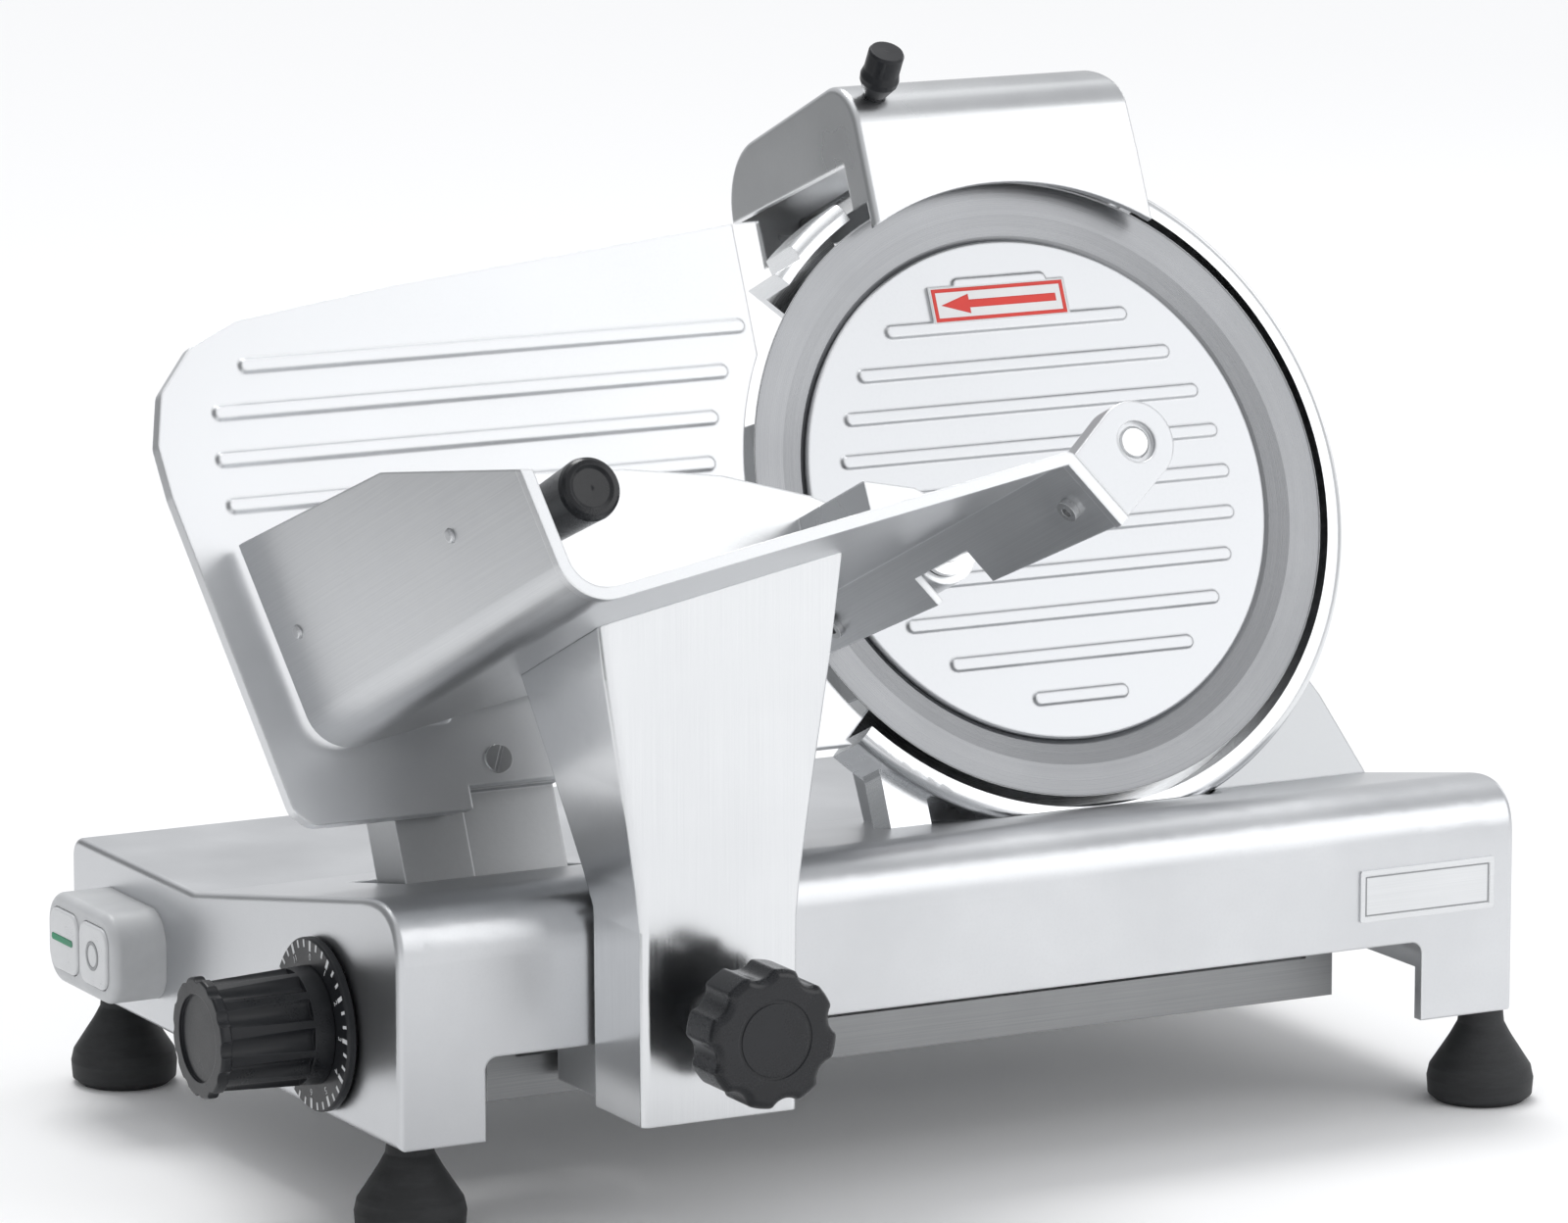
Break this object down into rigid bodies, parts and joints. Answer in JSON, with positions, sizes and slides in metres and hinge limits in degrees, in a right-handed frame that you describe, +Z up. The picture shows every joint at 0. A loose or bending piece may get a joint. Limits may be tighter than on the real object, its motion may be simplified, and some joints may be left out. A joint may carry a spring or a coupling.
{
  "type": "gravity-feed deli meat slicer",
  "caption": "Counter-top gravity-feed meat slicer: tilted round blade in a guard, thickness gauge plate and dial, sliding product tray with pusher, belt drive, sharpener hood, rubber feet.",
  "frame": {"origin": "centre of the machine's overall footprint, on the floor plane under the rubber feet", "axes": "+X along the base to the operator's right, which is the carriage stroke; +Y away from the operator; +Z up"},
  "size_m": [0.546, 0.4346, 0.4086],
  "materials": {
    "cast": "satin anodised casting",
    "anodised": "bright anodised, brushed",
    "steel": "ground and brushed",
    "blade_steel": "turned, fine circular grain",
    "plated": "bright plated",
    "black_plastic": "moulded satin black",
    "grey_plastic": "moulded light grey",
    "green_plastic": "moulded, gloss",
    "rubber": "moulded rubber",
    "belt": "ribbed belt rubber",
    "stone_grey": "bonded abrasive",
    "bronze": "sintered bronze",
    "dark_paint": "enamelled motor frame",
    "plate_print": "etched blank plate"
  },
  "bodies": {
    "base": {"base_casting": "cast", "rubber_feet": "rubber", "foot_studs": "steel", "bottom_cover": "steel", "guide_rail": "steel", "slide_rod": "plated", "switch_housing": "grey_plastic", "gauge_rod": "plated", "blade_cover": "anodised", "blade_spindle": "steel", "blade_housing": "cast", "guard_ring": "anodised", "slice_deflector": "anodised", "motor_body": "dark_paint", "machine_screws": "steel", "drive_belt": "belt", "motor_cover": "anodised", "sharpener_post": "steel", "nameplate": "plate_print", "cord_gland": "black_plastic"},
    "carriage": {"product_tray": "anodised", "wall_rivets": "anodised", "carriage_arm": "anodised", "slide_block": "cast", "slide_bushes": "bronze", "roller_pin": "steel", "rod_brackets": "anodised", "carriage_screws": "steel", "pusher_rod": "plated"},
    "roller": {"guide_roller": "black_plastic"},
    "carriage_lock": {"carriage_knob": "black_plastic", "knob_stud": "steel"},
    "pusher_slider": {"pusher_sleeve": "plated"},
    "pusher": {"pusher_plate": "cast", "pusher_knob": "black_plastic", "pusher_knob_screw": "steel"},
    "dial": {"dial_knob": "black_plastic", "dial_scale_ring": "black_plastic", "dial_shaft": "steel", "dial_cam": "steel"},
    "gauge": {"gauge_plate": "anodised", "gauge_screws": "steel", "gauge_bracket": "cast", "cam_follower": "steel"},
    "blade_rotor": {"blade": "blade_steel", "blade_screws": "steel", "blade_pulley": "cast", "spindle_bearings": "steel"},
    "motor_rotor": {"motor_shaft": "steel", "motor_pulley": "cast"},
    "start_key": {"start_button": "green_plastic"},
    "stop_key": {"stop_button": "green_plastic"},
    "sharpener": {"sharpener_housing": "cast"},
    "sharpener_clamp": {"sharpener_knob": "black_plastic"},
    "grind_plunger": {"grinding_shaft": "steel"},
    "grind_wheel": {"grinding_stone": "stone_grey"},
    "truing_plunger": {"truing_shaft": "steel"},
    "truing_wheel": {"truing_stone": "stone_grey"},
    "cover_lock": {"cover_lock_knob": "black_plastic", "cover_tie_rod": "steel"}
  },
  "joints": [
    {"name": "carriage_slide", "type": "slide", "parent": "base", "child": "carriage", "axis": [1, 0, 0], "range_m": [0, 0.25]},
    {"name": "guide_roller_spin", "type": "hinge", "parent": "carriage", "child": "roller", "pos_m": [-0.1114, -0.04673, 0.0614], "axis": [0, 1, 0], "continuous": true},
    {"name": "carriage_knob_turn", "type": "hinge", "parent": "carriage", "child": "carriage_lock", "pos_m": [-0.1104, -0.15873, 0.0843], "axis": [0, -1, 0], "range_deg": [0, 180]},
    {"name": "pusher_slide", "type": "slide", "parent": "carriage", "child": "pusher_slider", "axis": [0, -0.9166, 0.3999], "range_m": [0, 0.13]},
    {"name": "pusher_swing", "type": "hinge", "parent": "pusher_slider", "child": "pusher", "pos_m": [0.0273, -0.03832, 0.22516], "axis": [0, 0.9166, -0.3999], "range_deg": [0, 75]},
    {"name": "dial_turn", "type": "hinge", "parent": "base", "child": "dial", "pos_m": [-0.242, -0.03303, 0.0717], "axis": [-1, 0, 0], "range_deg": [0, 300]},
    {"name": "gauge_slide", "type": "slide", "parent": "base", "child": "gauge", "axis": [0, 0.9166, -0.3999], "range_m": [0, 0.012]},
    {"name": "blade_spin", "type": "hinge", "parent": "base", "child": "blade_rotor", "pos_m": [0.1211, 0.03187, 0.236], "axis": [0, -0.9166, 0.3999], "continuous": true},
    {"name": "motor_spin", "type": "hinge", "parent": "base", "child": "motor_rotor", "pos_m": [0.1811, 0.05488, 0.13868], "axis": [0, -0.9166, 0.3999], "continuous": true},
    {"name": "start_press", "type": "slide", "parent": "base", "child": "start_key", "axis": [1, 0, 0], "range_m": [0, 0.003], "stiffness_N_per_m": 500, "springref_m": -0.0005},
    {"name": "stop_press", "type": "slide", "parent": "base", "child": "stop_key", "axis": [1, 0, 0], "range_m": [0, 0.003], "stiffness_N_per_m": 500, "springref_m": -0.0005},
    {"name": "sharpener_lift", "type": "slide", "parent": "base", "child": "sharpener", "axis": [0, 0.3999, 0.9166], "range_m": [0, 0.04]},
    {"name": "sharpener_knob_turn", "type": "hinge", "parent": "sharpener", "child": "sharpener_clamp", "pos_m": [0.0771, 0.08912, 0.38709], "axis": [0, -0.489, 0.8723], "range_deg": [0, 90]},
    {"name": "grind_press", "type": "slide", "parent": "sharpener", "child": "grind_plunger", "axis": [0, -0.9166, 0.3999], "range_m": [0, 0.0015], "stiffness_N_per_m": 1500, "springref_m": -0.0005},
    {"name": "grind_spin", "type": "hinge", "parent": "grind_plunger", "child": "grind_wheel", "pos_m": [0.0971, 0.09576, 0.35869], "axis": [0, -0.9166, 0.3999], "continuous": true},
    {"name": "truing_pull", "type": "slide", "parent": "sharpener", "child": "truing_plunger", "axis": [0, 0.9166, -0.3999], "range_m": [0, 0.0015], "stiffness_N_per_m": 1500, "springref_m": -0.0008},
    {"name": "truing_spin", "type": "hinge", "parent": "truing_plunger", "child": "truing_wheel", "pos_m": [0.1451, 0.08118, 0.36003], "axis": [0, -0.9166, 0.3999], "continuous": true},
    {"name": "cover_knob_turn", "type": "hinge", "parent": "base", "child": "cover_lock", "pos_m": [0.1211, 0.11436, 0.20001], "axis": [0, -0.9166, 0.3999], "range_deg": [0, 170]}
  ],
  "couplings": [
    {"joint": "dial_turn", "follows": "gauge_slide", "rad_per_m": 436.3},
    {"joint": "motor_spin", "follows": "blade_spin", "ratio": 4},
    {"joint": "guide_roller_spin", "follows": "carriage_slide", "rad_per_m": 142.86}
  ]
}
